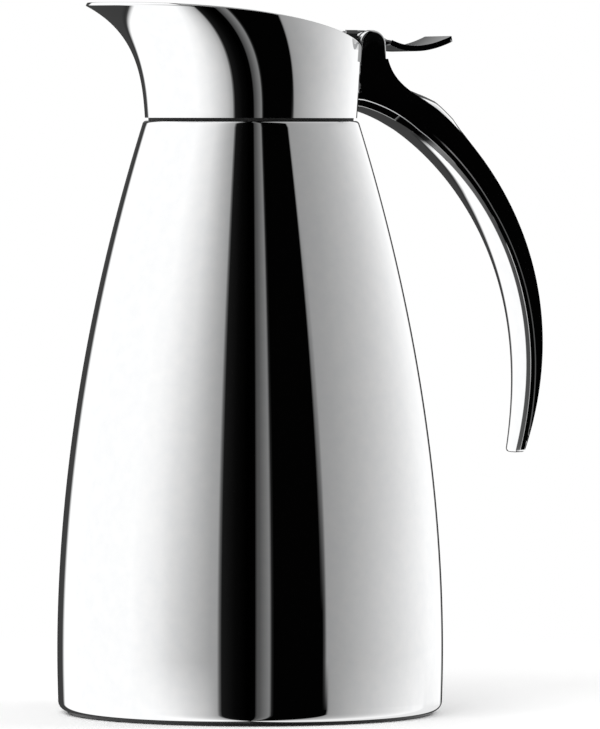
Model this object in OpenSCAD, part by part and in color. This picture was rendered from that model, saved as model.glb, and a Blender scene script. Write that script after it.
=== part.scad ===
// Insulated pouring jug: a double-walled glass flask in a polished steel body, closed from
// below by a screwed base, with a flared pouring head, a hinged lid worked by a thumb lever
// and an open hook handle fixed to the head alone.
// Millimetres. The origin is on the axis of the body, on the surface the jug stands on.
// +Z is up, +X points to the handle and the spout points to -X.

/* [Body] */
// Radius of the steel body at its widest ring
belly_r = 66.9; // [66:0.1:68]
// Height of the widest ring
belly_z = 22; // [18:1:26]
// Radius of the steel body at its top
neck_r = 37.2; // [37.2:0.1:38]
// Height of the top of the steel body
neck_z = 205;
// Bow of the body's side: 1 is a straight cone, 2 is nearly a circle
body_bow = 1.93; // [1.9:0.005:2]
// Thickness of the body's sheet steel
sheet = 0.7; // [0.5:0.1:0.7]
// Radius of the body's lower corner
foot_round = 3.2; // [2.5:0.1:4]

/* [Flask] */
// Outer radius of the outer glass vessel
flask_r = 50; // [48:0.5:50]
// Thickness of the glass
glass = 1.2; // [1:0.1:1.4]
// Vacuum gap between the two vessels
vacuum = 2.3; // [2:0.1:2.5]
// Outer radius of the flask's neck
flask_neck_r = 25; // [25]

/* [Head] */
// Outer radius of the head at its foot
head_foot_r = 36.1;
// Height of the head's foot
head_z = 206;
// Height for which the spout's reach is stated
tip_z = 245.5;
// How much wider the head is at that height, all round
head_flare = 3.3; // [3:0.1:3.4]
// Reach of the broad front of the spout
spout_reach = 16; // [15:0.5:17]
// Reach of its narrow beak
beak_reach = 6; // [5:0.5:7]
// Height of the rim at the spout
rim_tip_z = 244.5; // [244:0.1:245]
// Drop of the rim from the spout to the hinge
rim_drop = 15.2; // [15:0.1:15.4]
// Thickness of the head's steel
head_wall = 1.2;

/* [Handle] */
// Width of the handle where it joins the head
handle_root_w = 18.2; // [18:0.1:18.2]
// Width of the handle at its free end
handle_end_w = 10.8; // [10:0.1:11]
// Depth of the handle near the head, across the finger side
handle_root_t = 12.5; // [12.3:0.1:12.6]
// Depth of the handle at its free end
handle_end_t = 4; // [4:0.1:4.5]

/* [Lid and lever] */
// Distance of the hinge axis behind the body's axis
hinge_x = 41.9;
// Height of the hinge axis
hinge_z = 231.6;
// Radius of the hinge pin
pin_r = 1.6; // [1.5:0.05:1.6]
// Height of the lid's flat top
lid_top_z = 236.5;
// Width of the lever at its thumb end
lever_w = 23.6; // [22:0.2:24]
// Thickness of the lever
lever_t = 2; // [1.8:0.1:2]

/* [Hidden] */
$fn = 96;
running = 0.05; // radial clearance of the hinge
loose = 0.2; // clearance between parts that only pass each other

// base
shell_foot_z = 1.0;
ring_lip_z = 0.3;
cap_r = 51.8;
cap_top_z = 4.2;
cap_rim_z = 11;
pad_r = 45.5;
pad_top_z = 1.4;
cap_foot_z = 1.2;
ring_top_z = 12;
ring_upstand_r = 59.5;
shell_mouth_r = 60;

// flask: heights of its stages
flask_dome_z = 34;
flask_dome_h = 20;
flask_side_z = 138;
flask_shoulder_h = 48;
flask_lip_z = 198;
flask_lip_t = 1.4;
inner_r = flask_r - glass - vacuum;
inner_neck_r = flask_neck_r - glass - 2.0;
dome_steps = 12;

// collar, head lining and funnel
collar_foot_z = 188.5;
collar_step_z = 192;
collar_bore_r = 29;
thread_r = 28.8;
funnel_foot_z = 194;
seal_top_z = 201.4;
throat_r = 20.6;
seat_drop = 14.5; // the conical seat is the line z = r + seat_base
seat_base = 200 - seat_drop;
seat_top_r = 26.5;
lining_foot_z = 213;
lining_gap = 0.1;
lining_inset = 3.8;
lining_outset = head_wall + lining_gap;
lining_drop = 0.6; // the lining stops below the steel rim, and further below it at the spout
lining_spout_drop = 3.2;

// head surface
flare_h = tip_z - head_z;
spout_rise = 2.9; // how late the broad front grows with height
beak_rise = 7.5;
beak_point = 6; // how narrow the beak is, seen from above
swell = 0.086; // the head's sides stand out a little towards the spout
swell_rise = 1.6;
swell_point = 2.6;
rim_bow = 2.3;
head_sides = 72;
head_steps = 10;
lining_steps = 8;

// handle
screw_r = 2;
screw_head_r = 3;
screw_head_t = 1.0;
screw_z = [216.5, 223];
screw_end_x = 45;
screw_slack = 0.15; // play under a head, which bears on the curved wall at its edge
ear_gap = 5.5; // half the space between the ears
ear_w = 9.2;
ear_r = 5.0;
channel_z = 226.3;
handle_steps = 28;

// lid
barrel_r = 4.0;
barrel_w = 5.2; // half the barrel's width
cover_z = 235.3;
plate_z = 229;
plate_gap = 0.8;
cover_gap = 1.5;
tail_x = 36.2;
tail_w = 8.8;
tail_z = 230.8;
plug_r = 23.5;
plug_foot_z = 211;
stem_r = 19.5;
stem_foot_z = 207;
hollow_r = 17.5;
hollow_top_z = 226;
cap_plug_z = 204.6;
plug_cap_r = 19.6;
boss_r = 4;
strip_x = 22; // front end of the lever's strip on the lid
lever_screw_x = 29;
lever_screw_y = 2.8;
lever_screw_r = 1.25;
spring_r = 3.1;
spring_bore_r = 1.9;
spring_w = 2.4;

// ---- outlines ----------------------------------------------------------------------

// Points of an arc about c from angle a0 to a1
function arc(c, r, a0, a1, n) =
    [for (i = [0:n]) let(a = a0 + (a1 - a0) * i / n) [c[0] + r * cos(a), c[1] + r * sin(a)]];

// Points of a cubic curve with four control points
function cubic(p, n, first = 0) =
    [for (i = [first:n]) cubic_at(p, i / n)];
function cubic_at(p, t) =
    pow(1 - t, 3) * p[0] + 3 * pow(1 - t, 2) * t * p[1] + 3 * (1 - t) * t * t * p[2] + pow(t, 3) * p[3];
function cubic_run(p, t) =
    3 * pow(1 - t, 2) * (p[1] - p[0]) + 6 * (1 - t) * t * (p[2] - p[1]) + 3 * t * t * (p[3] - p[2]);

// Radius of the body's outside at height z
function body_r(z) =
    belly_r - (belly_r - neck_r) * pow(abs(z - belly_z) / (neck_z - belly_z), body_bow);

// ---- base and body -----------------------------------------------------------------

body_steps = 28;
neck_round = 1.4;
neck_lip_r = 31.5;
neck_slope = 17; // lean of the body's side at its top

module outer_shell() {
    low_z = shell_foot_z + foot_round;
    arc_z = neck_z - neck_round + neck_round * sin(neck_slope);
    high_r = body_r(arc_z) - neck_round * cos(neck_slope);
    low_r = body_r(low_z) - foot_round;
    side = [for (i = [0:body_steps]) low_z + (arc_z - low_z) * i / body_steps];
    outside = concat(
        arc([low_r, low_z], foot_round, -90, -8, 5),
        [for (z = side) [body_r(z), z]],
        arc([high_r, neck_z - neck_round], neck_round, 30, 90, 5));
    inside = concat(
        arc([high_r, neck_z - neck_round], neck_round - sheet, 90, 30, 5),
        [for (i = [body_steps:-1:0]) [body_r(side[i]) - sheet, side[i]]],
        arc([low_r, low_z], foot_round - sheet, -8, -90, 5));
    color("gainsboro")
    rotate_extrude()
    polygon(concat(
        [[shell_mouth_r, shell_foot_z]], outside,
        [[neck_lip_r, neck_z], [neck_lip_r, neck_z - sheet]], inside,
        [[shell_mouth_r, shell_foot_z + sheet]]));
}

module base_ring() {
    lip_r = body_r(shell_foot_z + foot_round) - foot_round;
    color("#1c1c1e")
    rotate_extrude()
    polygon([
        [cap_r, ring_lip_z], [lip_r, ring_lip_z], [lip_r, shell_foot_z],
        [ring_upstand_r, shell_foot_z], [ring_upstand_r, ring_top_z], [cap_r, ring_top_z]]);
}

module base_cap() {
    rim_in_r = cap_r - 4;
    boss_in_r = 22;
    boss_out_r = 25;
    boss_z = 9;
    key_r = 48.6;
    color("#222224")
    difference() {
        rotate_extrude()
        polygon([
            [0, pad_top_z], [pad_r, pad_top_z], [pad_r, cap_foot_z], [cap_r, cap_foot_z],
            [cap_r, cap_rim_z], [rim_in_r, cap_rim_z], [rim_in_r, cap_top_z],
            [boss_out_r, cap_top_z], [boss_out_r, boss_z], [boss_in_r, boss_z],
            [boss_in_r, cap_top_z], [0, cap_top_z]]);
        for (a = [0:120:240])
            rotate(a) translate([key_r, 0, 0]) cube([3, 9, 5], center = true);
    }
}

module foot_pad() {
    color("#151515") cylinder(r = pad_r, h = pad_top_z);
}

// ---- flask -------------------------------------------------------------------------

// Half outline of one glass vessel, from the middle of its dome up to the top of its neck
function vessel(r, neck, inset) = concat(
    arc_ellipse(flask_dome_z, r, flask_dome_h - inset, -90, 0, dome_steps),
    [for (i = [0:dome_steps]) let(a = 90 * i / dome_steps)
        [neck + (r - neck) * cos(a), flask_side_z + (flask_shoulder_h - inset) * sin(a)]],
    [[neck, flask_lip_z]]);
function arc_ellipse(z, rx, rz, a0, a1, n) =
    [for (i = [0:n]) let(a = a0 + (a1 - a0) * i / n) [rx * cos(a), z + rz * sin(a)]];

// Turns the space between two half outlines into a vessel's wall
module vessel_wall(outer, inner) {
    rotate_extrude()
    polygon(concat(outer, [for (i = [len(inner) - 1:-1:0]) inner[i]]));
}

module flask_outer() {
    tip_r = 3;
    tip_h = 5;
    color("#c9ccd0")
    union() {
        vessel_wall(vessel(flask_r, flask_neck_r, 0),
                    vessel(flask_r - glass, flask_neck_r - glass, glass));
        translate([0, 0, flask_dome_z - flask_dome_h - tip_h + glass / 2])
            cylinder(r1 = tip_r / 2, r2 = tip_r, h = tip_h);
    }
}

module flask_inner() {
    inset = glass + vacuum;
    color("#d8dbde")
    union() {
        vessel_wall(vessel(inner_r, inner_neck_r, inset),
                    vessel(inner_r - glass, inner_neck_r - glass, inset + glass));
        rotate_extrude()
        polygon([
            [inner_neck_r - glass, flask_lip_z], [flask_neck_r, flask_lip_z],
            [flask_neck_r, flask_lip_z + flask_lip_t],
            [inner_neck_r - glass, flask_lip_z + flask_lip_t]]);
    }
}

module spacer_pads() {
    pad_z = 60;
    pad_w = 11;
    color("#b9b1a0")
    intersection() {
        translate([0, 0, pad_z]) difference() {
            cylinder(r = flask_r - glass, h = pad_w, center = true);
            cylinder(r = inner_r, h = pad_w + 1, center = true);
        }
        for (a = [60:120:300])
            rotate(a) translate([flask_r - glass - vacuum / 2, 0, pad_z])
                cube([vacuum * 4, pad_w, pad_w + 2], center = true);
    }
}

module flask_cushion() {
    dome = vessel(flask_r, flask_neck_r, 0);
    color("#2b2b2b")
    rotate_extrude()
    polygon([dome[1], dome[2], dome[3], [dome[3][0], cap_top_z], [dome[1][0], cap_top_z]]);
}

module shoulder_gasket() {
    shoulder = vessel(flask_r, flask_neck_r, 0);
    top = 2 * dome_steps + 1; // index of the shoulder's highest point
    color("#39393b")
    rotate_extrude()
    polygon([
        shoulder[top - 1], shoulder[top - 2], shoulder[top - 3],
        [shoulder[top - 3][0], collar_foot_z], [shoulder[top - 1][0], collar_foot_z]]);
}

// ---- neck and head -----------------------------------------------------------------

module neck_collar() {
    flask_gap_r = flask_neck_r + 1;
    step_r = 36.5;
    top_r = 34.8;
    slack = sheet + 0.25;
    color("#1b1b1d")
    rotate_extrude()
    polygon([
        [flask_gap_r, collar_foot_z], [step_r, collar_foot_z],
        [body_r(190) - slack, 190], [body_r(196) - slack, 196], [body_r(202) - slack, 202],
        [top_r, neck_z - sheet], [collar_bore_r, neck_z - sheet],
        [collar_bore_r, collar_step_z], [flask_gap_r, collar_step_z]]);
}

module mouth_seal() {
    lip_top = flask_lip_z + flask_lip_t;
    color("#8d8f92")
    translate([0, 0, lip_top])
    difference() {
        cylinder(r = flask_neck_r - 0.4, h = seal_top_z - lip_top);
        translate([0, 0, -1]) cylinder(r = throat_r + 0.2, h = 5);
    }
}

module seam_ring() {
    ring_r = 35.5;
    color("#0c0c0c")
    rotate_extrude()
    polygon([
        [thread_r + loose, neck_z], [ring_r, neck_z], [ring_r, head_z], [thread_r + loose, head_z]]);
}

module pour_funnel() {
    flange_z = head_z + 0.2;
    flange_r = head_foot_r - head_wall - 0.1;
    floor_r = 33;
    pocket_r = flask_neck_r + 0.2;
    color("#161617")
    rotate_extrude()
    polygon([
        [pocket_r, funnel_foot_z], [thread_r, funnel_foot_z], [thread_r, flange_z],
        [flange_r, flange_z], [flange_r, lining_foot_z], [floor_r, lining_foot_z],
        [seat_top_r, seat_top_r + seat_base], [throat_r, throat_r + seat_base],
        [throat_r, seal_top_z], [pocket_r, seal_top_z]]);
}

// The head's outside. a is the angle from the handle, z the height. Its plan is a circle that
// widens with height; towards the spout it is drawn out by a broad front and a narrow beak.
function rise(z) = max(0, z - head_z) / flare_h;
function head_r(z) = head_foot_r + head_flare * rise(z);
function front(a) = (1 - cos(a)) / 2; // 0 at the handle, 1 at the spout
function reach(a, z) =
    spout_reach * pow(rise(z), spout_rise) * front(a)
    + beak_reach * pow(rise(z), beak_rise) * pow(front(a), beak_point);
function plan(a, z, inset = 0) = [
    (head_r(z) - inset) * cos(a) - reach(a, z),
    (head_r(z) - inset) * sin(a)
        * (1 + swell * pow(rise(z), swell_rise) * pow(front(a), swell_point))];
function rim_z(a) = rim_tip_z - rim_drop * pow((1 + cos(a)) / 2, rim_bow);
function skin(a, z) = let(p = plan(a, z)) [p[0], p[1], z];
function unit(v) = v / norm(v);
function outward(a, z) =
    unit(cross(skin(a + 0.5, z) - skin(a - 0.5, z), skin(a, z + 0.05) - skin(a, z - 0.05)));

// Closed wall that follows the head's outside between two depths under it
module head_layer(foot_z, drop, spout_drop, outset, inset, sides, steps) {
    top = function (a) rim_z(a) - drop - spout_drop * pow(front(a), 4);
    level = function (a, k) foot_z + (top(a) - foot_z) * k / steps;
    layer = function (k, depth) [for (i = [0:sides - 1])
        let(a = 360 * i / sides, z = level(a, k)) skin(a, z) - depth * outward(a, z)];
    rings = concat(
        [for (k = [0:steps]) layer(k, outset)],
        [for (k = [steps:-1:0]) layer(k, inset)]);
    loft(rings, sides, true);
}

// Polyhedron through rings of equal length, closed into a loop or capped at its ends
module loft(rings, n, looped) {
    m = len(rings);
    last = looped ? m - 1 : m - 2;
    walls = [for (k = [0:last], i = [0:n - 1])
        let(a = k * n + i, b = k * n + (i + 1) % n, c = ((k + 1) % m) * n + (i + 1) % n,
            d = ((k + 1) % m) * n + i)
        each [[a, c, b], [a, d, c]]];
    caps = looped ? [] : [[for (i = [0:n - 1]) i], [for (i = [n - 1:-1:0]) (m - 1) * n + i]];
    polyhedron([for (r = rings) each r], concat(walls, caps));
}

// Where the head of the screw at height z bears on the inside of the steel
function screw_seat_x(z) = head_r(z - screw_head_r) - head_wall - screw_slack;

module handle_screw_holes(r, x0, x1) {
    for (z = screw_z)
        translate([x0, 0, z]) rotate([0, 90, 0]) cylinder(r = r, h = x1 - x0);
}

module head_shell() {
    color("#d6d8da")
    difference() {
        head_layer(head_z, 0, 0, 0, head_wall, head_sides, head_steps);
        handle_screw_holes(screw_r + loose, 30, 42);
    }
}

module head_lining() {
    color("#141415")
    difference() {
        head_layer(lining_foot_z, lining_drop, lining_spout_drop, lining_outset, lining_inset,
                   head_sides, lining_steps);
        for (z = screw_z)
            translate([screw_seat_x(z) - screw_head_t - loose, 0, z]) rotate([0, 90, 0])
                cylinder(r = screw_head_r + loose, h = 8);
    }
}

// ---- handle ------------------------------------------------------------------------

// Finger side of the handle: from the head, round the hand, down to the free end
finger_curve = [[36, 210.6], [59.9, 207], [118.2, 165], [97.3, 83.6]];
finger_end = 0.972; // where on that curve the free end is
length_bow = 1.4; // share of the handle's length at a share t of the curve: t to this power
depth_taper = 1.35;
width_taper = 4.5;
root_step_t = 3; // the handle is this much shallower where it leaves the head
root_steps = 6; // over this many rings

// Half section: [depth, half width], from the middle of the finger side to the middle of the back
half_section = [
    [0, 0], [0.02, 0.68], [0.06, 0.87], [0.16, 0.96], [0.3, 0.99], [0.6, 1], [0.87, 0.97], [0.95, 0.6],
    [1, 0]];
section = concat(half_section, [for (i = [len(half_section) - 2:-1:1])
    [half_section[i][0], -half_section[i][1]]]);

function handle_t(s) = handle_root_t - (handle_root_t - handle_end_t) * pow(s, depth_taper);
function handle_w(s) = (handle_root_w - (handle_root_w - handle_end_w) * pow(s, width_taper)) / 2;

// One ring of the handle at a share t of its finger side
function handle_ring(t, extra_t = 0, shrink = 1, push = 0) =
    let(p = cubic_at(finger_curve, t * finger_end), s = pow(t, length_bow),
        run = unit(cubic_run(finger_curve, t * finger_end)), out = [-run[1], run[0]],
        deep = handle_t(s) + extra_t, mid = deep / 2)
    [for (q = section)
        let(d = mid + (q[0] * deep - mid) * shrink, xz = p + push * run + d * out)
        [xz[0], q[1] * handle_w(s) * shrink, xz[1]]];

module handle_arch() {
    hook = [for (i = [0:handle_steps])
        handle_ring(i / handle_steps, -root_step_t * max(0, 1 - i / root_steps))];
    tip = [for (q = [[0.93, 0.8], [0.75, 1.4], [0.4, 1.7]]) handle_ring(1, 0, q[0], q[1])];
    loft(concat(hook, tip), len(section), false);
}

// Post behind the head that carries the hinge, seen from the side
post_back = [[47.6, 226.6], [49.2, 221], [52.3, 217.2], [61.5, 212.3]];
post_back_x = 47.1;
post_ledge_z = 227.2;
pad_back_x = 36.9;

module handle_post() {
    side = concat(
        [[34, head_z + 0.3], [pad_back_x, head_z + 0.3], [37.7, 215], [41, 214], [48, 211], [58, 206]],
        [for (i = [10:-1:0]) cubic_at(post_back, i / 10)],
        [[post_back_x, post_ledge_z], [post_back_x, hinge_z], [34, hinge_z]]);
    difference() {
        rotate([90, 0, 0]) linear_extrude(2 * ear_w, center = true) polygon(side);
        // the front of the post above the rim stays clear of the lid
        translate([30, -20, rim_z(0) + 1]) cube([hinge_x - ear_r - 30, 40, 10]);
    }
    translate([hinge_x, 0, hinge_z]) rotate([90, 0, 0])
        cylinder(r = ear_r, h = 2 * ear_w, center = true);
}

module handle() {
    fit = 0.04;
    color("#cfd1d3")
    difference() {
        union() {
            handle_post();
            handle_arch();
        }
        // seat on the head's flared back
        translate([0, 0, head_z - 10])
            cylinder(r1 = head_r(head_z) - head_flare / flare_h * 10 + fit,
                     r2 = head_r(head_z) + head_flare / flare_h * 24.3 + fit, h = 34.3);
        // channel between the two ears for the lever's barrel
        translate([30, -ear_gap, channel_z]) cube([40, 2 * ear_gap, 20]);
        // the pin enters from the far side and stops inside the near ear
        translate([hinge_x, 10, hinge_z]) rotate([90, 0, 0]) cylinder(r = pin_r, h = 18);
        handle_screw_holes(screw_r, 30, screw_end_x);
    }
}

module handle_screws() {
    color("#9a9a9a")
    for (z = screw_z)
        translate([screw_seat_x(z), 0, z]) rotate([0, 90, 0]) {
            translate([0, 0, -screw_head_t]) cylinder(r = screw_head_r, h = screw_head_t);
            translate([0, 0, -0.1]) cylinder(r = screw_r, h = screw_end_x - screw_seat_x(z) + 0.1);
        }
}

// ---- hinge and lever ---------------------------------------------------------------

module hinge_pin() {
    color("#b5b7b9")
    translate([hinge_x, ear_w, hinge_z]) rotate([90, 0, 0]) cylinder(r = pin_r, h = ear_w + 8);
}

module lid_spring() {
    leg_r = 0.4;
    color("#8a8c8f")
    union() {
        translate([hinge_x, 0, hinge_z]) rotate([90, 0, 0]) difference() {
            cylinder(r = spring_r, h = 2 * spring_w, center = true);
            cylinder(r = spring_bore_r, h = 2 * spring_w + 1, center = true);
        }
        // one leg under the lever's strip, one down to the floor of the channel
        translate([hinge_x, 1.8, lid_top_z - lever_t - leg_r - 0.05]) rotate([0, -90, 0])
            cylinder(r = leg_r, h = 4.9);
        translate([hinge_x - 2.6, -1.8, channel_z]) cylinder(r = leg_r, h = hinge_z - channel_z);
    }
}

// Middle line of the lever's strip, from the lid over the hinge to the thumb
strip_flat_z = lid_top_z - lever_t / 2;
lever_drop = [[39.5, strip_flat_z], [43.5, strip_flat_z], [46, 233.6], [49.2, 232.1]];
lever_sweep = [[49.2, 232.1], [54.6, 229.4], [61.9, 229.2], [72.4, 234.5]];
lever_line = concat([[strip_x, strip_flat_z]], cubic(lever_drop, 8), cubic(lever_sweep, 14, 1));

// Points of a line moved sideways by d
function beside(line, d) = [for (i = [0:len(line) - 1])
    let(a = line[max(0, i - 1)], b = line[min(len(line) - 1, i + 1)], u = unit(b - a))
    line[i] + d * [-u[1], u[0]]];

lever_tip_x = 71.1;
tip_round = 1.2;

module lever_strip() {
    upper = beside(lever_line, lever_t / 2);
    lower = beside(lever_line, -lever_t / 2);
    half = lever_w / 2;
    // behind the ears the strip widens at once; its front corners stand beside them
    edge = [
        [strip_x - 1, barrel_w], [50.3, barrel_w], [48, 9.5], [52, 10.1], [60, half - 0.7],
        [lever_tip_x - tip_round, half], [lever_tip_x, half - tip_round]];
    intersection() {
        rotate([90, 0, 0]) linear_extrude(lever_w + 2, center = true)
            polygon(concat(upper, [for (i = [len(lower) - 1:-1:0]) lower[i]]));
        translate([0, 0, 200]) linear_extrude(60)
            polygon(concat(edge, [for (i = [len(edge) - 1:-1:0]) [edge[i][0], -edge[i][1]]]));
    }
}

module thumb_lever() {
    color("#cdd0d2")
    difference() {
        union() {
            lever_strip();
            translate([hinge_x, 0, hinge_z]) rotate([90, 0, 0])
                cylinder(r = barrel_r, h = 2 * barrel_w, center = true);
            // web that ties the barrel to the strip
            translate([hinge_x - 3.2, -barrel_w, hinge_z]) cube([5.4, 2 * barrel_w, 3.6]);
        }
        translate([hinge_x, 0, hinge_z]) rotate([90, 0, 0])
            cylinder(r = pin_r + running, h = 30, center = true);
        // room for the spring inside the barrel
        translate([hinge_x, 0, hinge_z]) rotate([90, 0, 0])
            cylinder(r = spring_r + 0.25, h = 2 * spring_w + 0.4, center = true);
        translate([hinge_x - 12, -spring_w - loose, channel_z])
            cube([12, 2 * spring_w + 2 * loose, lid_top_z - lever_t - channel_z]);
        lever_screw_shanks(lever_screw_r, 230, 235.9);
    }
}

module lever_screw_shanks(r, z0, z1) {
    for (y = [-lever_screw_y, lever_screw_y])
        translate([lever_screw_x, y, z0]) cylinder(r = r, h = z1 - z0);
}

// ---- lid ---------------------------------------------------------------------------

// Outline of the lid at height z, inset from the head's outside
module lid_outline(z, inset) {
    polygon([for (i = [0:head_sides - 1]) plan(360 * i / head_sides, z, inset)]);
}

module strip_slot() {
    translate([strip_x, -barrel_w, lid_top_z - lever_t]) cube([30, 2 * barrel_w, 10]);
}

module lid_cover() {
    color("#d9dbdd")
    difference() {
        translate([0, 0, cover_z]) linear_extrude(lid_top_z - cover_z) union() {
            lid_outline(cover_z, lining_inset + cover_gap);
            translate([20, -tail_w]) square([tail_x - 20, 2 * tail_w]);
        }
        strip_slot();
    }
}

module lid_core() {
    head_pocket_z = 231;
    color("#19191a")
    difference() {
        union() {
            translate([0, 0, plate_z]) linear_extrude(cover_z - plate_z)
                lid_outline(plate_z, lining_inset + plate_gap + 0.4);
            translate([20, -tail_w, tail_z]) cube([tail_x - 20, 2 * tail_w, cover_z - tail_z]);
            translate([0, 0, plug_foot_z]) cylinder(r = plug_r, h = plate_z - plug_foot_z + 1);
            translate([0, 0, stem_foot_z]) cylinder(r = stem_r, h = plug_foot_z - stem_foot_z + 1);
        }
        difference() {
            translate([0, 0, stem_foot_z - 1]) cylinder(r = hollow_r, h = hollow_top_z - stem_foot_z + 1);
            translate([0, 0, stem_foot_z - 1]) cylinder(r = boss_r, h = hollow_top_z);
        }
        translate([0, 0, stem_foot_z - 1]) cylinder(r = 1.5, h = 14);
        strip_slot();
        lever_screw_shanks(lever_screw_r, 228, 236);
        lever_screw_shanks(2.3, 228, head_pocket_z);
    }
}

module lever_screws() {
    color("#9a9a9a")
    union() {
        lever_screw_shanks(lever_screw_r, 230, 235.9);
        lever_screw_shanks(2.2, 229.5, 231);
    }
}

module lid_foam() {
    color("#e6e2d6")
    translate([0, 0, stem_foot_z + 1.5]) difference() {
        cylinder(r = hollow_r, h = hollow_top_z - stem_foot_z - 1.5);
        translate([0, 0, -1]) cylinder(r = boss_r, h = 40);
    }
}

module lid_seal() {
    gap = 0.22; // height of the seal's cone above the seat
    rest = seat_base + gap;
    color("#b9bcbf")
    rotate_extrude()
    polygon([
        [stem_r, stem_foot_z], [stem_foot_z - rest, stem_foot_z], [25.8, 25.8 + rest],
        [25.2, 25.8 + rest + 0.6], [22.5, 209.4], [21.2, 209.4], [21.2, plug_foot_z],
        [stem_r, plug_foot_z]]);
}

module plug_cap() {
    color("#202022")
    difference() {
        translate([0, 0, cap_plug_z]) cylinder(r = plug_cap_r, h = stem_foot_z - cap_plug_z);
        translate([0, 0, cap_plug_z - 1]) cylinder(r = 1.5, h = 10);
        translate([0, 0, cap_plug_z - 1]) cylinder(r = 3.1, h = 2.2);
    }
}

module plug_screw() {
    color("#9a9a9a")
    union() {
        translate([0, 0, cap_plug_z + 0.1]) cylinder(r = 3, h = 1.1);
        translate([0, 0, cap_plug_z + 0.6]) cylinder(r = 1.5, h = 14);
    }
}

outer_shell();
base_ring();
base_cap();
foot_pad();
flask_cushion();
flask_outer();
flask_inner();
spacer_pads();
shoulder_gasket();
neck_collar();
mouth_seal();
seam_ring();
pour_funnel();
head_shell();
head_lining();
handle();
handle_screws();
hinge_pin();
lid_spring();
thumb_lever();
lid_cover();
lid_core();
lever_screws();
lid_foam();
lid_seal();
plug_cap();
plug_screw();
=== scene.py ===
import math

import bpy
import numpy as np
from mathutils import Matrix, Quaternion, Vector


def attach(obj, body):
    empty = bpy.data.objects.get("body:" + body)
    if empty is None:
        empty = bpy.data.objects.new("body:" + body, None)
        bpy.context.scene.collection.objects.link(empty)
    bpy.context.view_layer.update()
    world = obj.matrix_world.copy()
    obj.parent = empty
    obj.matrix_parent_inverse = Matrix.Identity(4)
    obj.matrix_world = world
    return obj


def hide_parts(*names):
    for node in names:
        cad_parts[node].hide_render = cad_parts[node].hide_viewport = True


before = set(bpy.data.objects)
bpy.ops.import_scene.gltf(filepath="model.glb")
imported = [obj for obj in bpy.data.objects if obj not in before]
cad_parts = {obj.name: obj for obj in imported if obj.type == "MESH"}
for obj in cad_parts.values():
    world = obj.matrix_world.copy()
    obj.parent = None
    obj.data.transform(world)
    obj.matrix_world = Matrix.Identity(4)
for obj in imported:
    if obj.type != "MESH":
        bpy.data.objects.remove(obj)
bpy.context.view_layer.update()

# ---- Camera --------------------------------------------------------------------------
# A long lens at the height of the jug's shoulder, turned 22 degrees towards the spout, so
# that the jug stands nearly in profile and the near side of the handle shows.
MM = 0.001  # sizes are in mm here and Blender's unit is the metre
TURN = math.radians(22)
ROLL = math.radians(0.1)
EYE_DISTANCE, EYE_UP = 2700, 205
AIM_ASIDE, AIM_UP = 17.1, 120.7  # from the body's axis towards the handle, and up

camera_data = bpy.data.cameras.new("camera")
camera_data.sensor_width = 36
camera_data.lens = 385.3
camera_data.clip_end = 50
camera = bpy.data.objects.new("camera", camera_data)
bpy.context.scene.collection.objects.link(camera)
bpy.context.scene.camera = camera
camera.location = Vector((-EYE_DISTANCE * math.sin(TURN), -EYE_DISTANCE * math.cos(TURN), EYE_UP)) * MM
aim = Vector((AIM_ASIDE * math.cos(TURN), -AIM_ASIDE * math.sin(TURN), AIM_UP)) * MM
level_view = (aim - camera.location).to_track_quat("-Z", "Y")
camera.rotation_euler = (level_view @ Quaternion((0, 0, 1), ROLL)).to_euler()
bpy.context.scene.view_settings.view_transform = "Standard"

# ---- Studio --------------------------------------------------------------------------
# A white room with two soft lamps and a pale table. What shines sees large white sheets with
# two upright black flags and grey falling off beside them, so polished steel reads as steel
# from every side.


def linear(code):
    """sRGB hex colour, such as "#20242A", to linear red, green, blue and alpha: a straight line
    near black, then a power of 2.4."""
    c = [int(code[i:i + 2], 16) / 255 for i in (1, 3, 5)]
    return tuple(v / 12.92 if v <= 0.04045 else ((v + 0.055) / 1.055) ** 2.4 for v in c) + (1.0,)


def add(tree, kind, settings=(), **links):
    """Adds a node. settings is a dict of its properties and input values, with "stops" for a
    colour ramp's (position, hex colour) pairs. Each link names an input, with underscores for
    spaces or i and its number, and gives the output socket that feeds it."""
    node = tree.nodes.new(kind)
    for key, value in dict(settings).items():
        if key == "stops":
            elements = node.color_ramp.elements
            while len(elements) < len(value):
                elements.new(0.5)
            for element, (place, code) in zip(elements, sorted(value)):
                element.position = place
                element.color = linear(code)
        elif isinstance(key, int) or key in node.inputs:
            node.inputs[key].default_value = value
        else:
            setattr(node, key, value)
    for key, socket in links.items():
        slot = int(key[1:]) if key[0] == "i" and key[1:].isdigit() else key.replace("_", " ")
        tree.links.new(socket, node.inputs[slot])
    return node


world = bpy.data.worlds.new("studio")
bpy.context.scene.world = world
world.use_nodes = True
sky = world.node_tree
sky.nodes.clear()
heading = add(sky, "ShaderNodeTexCoord").outputs["Generated"]
east, north, up = add(sky, "ShaderNodeSeparateXYZ", i0=heading).outputs
azimuth = add(sky, "ShaderNodeMath", {"operation": "ARCTAN2"}, i0=north, i1=east)
# bearings run round the room from the side that the camera stands on, which is ramp place 0.5
CAMERA_SIDE = -math.pi / 2 - TURN
from_camera = add(sky, "ShaderNodeMath", {"operation": "SUBTRACT", 1: CAMERA_SIDE - math.pi},
                  i0=azimuth.outputs[0])
one_turn = add(sky, "ShaderNodeMath", {"operation": "WRAP", 1: 2 * math.pi, 2: 0.0},
               i0=from_camera.outputs[0])
around = add(sky, "ShaderNodeMath", {"operation": "DIVIDE", 1: 2 * math.pi}, i0=one_turn.outputs[0])
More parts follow.
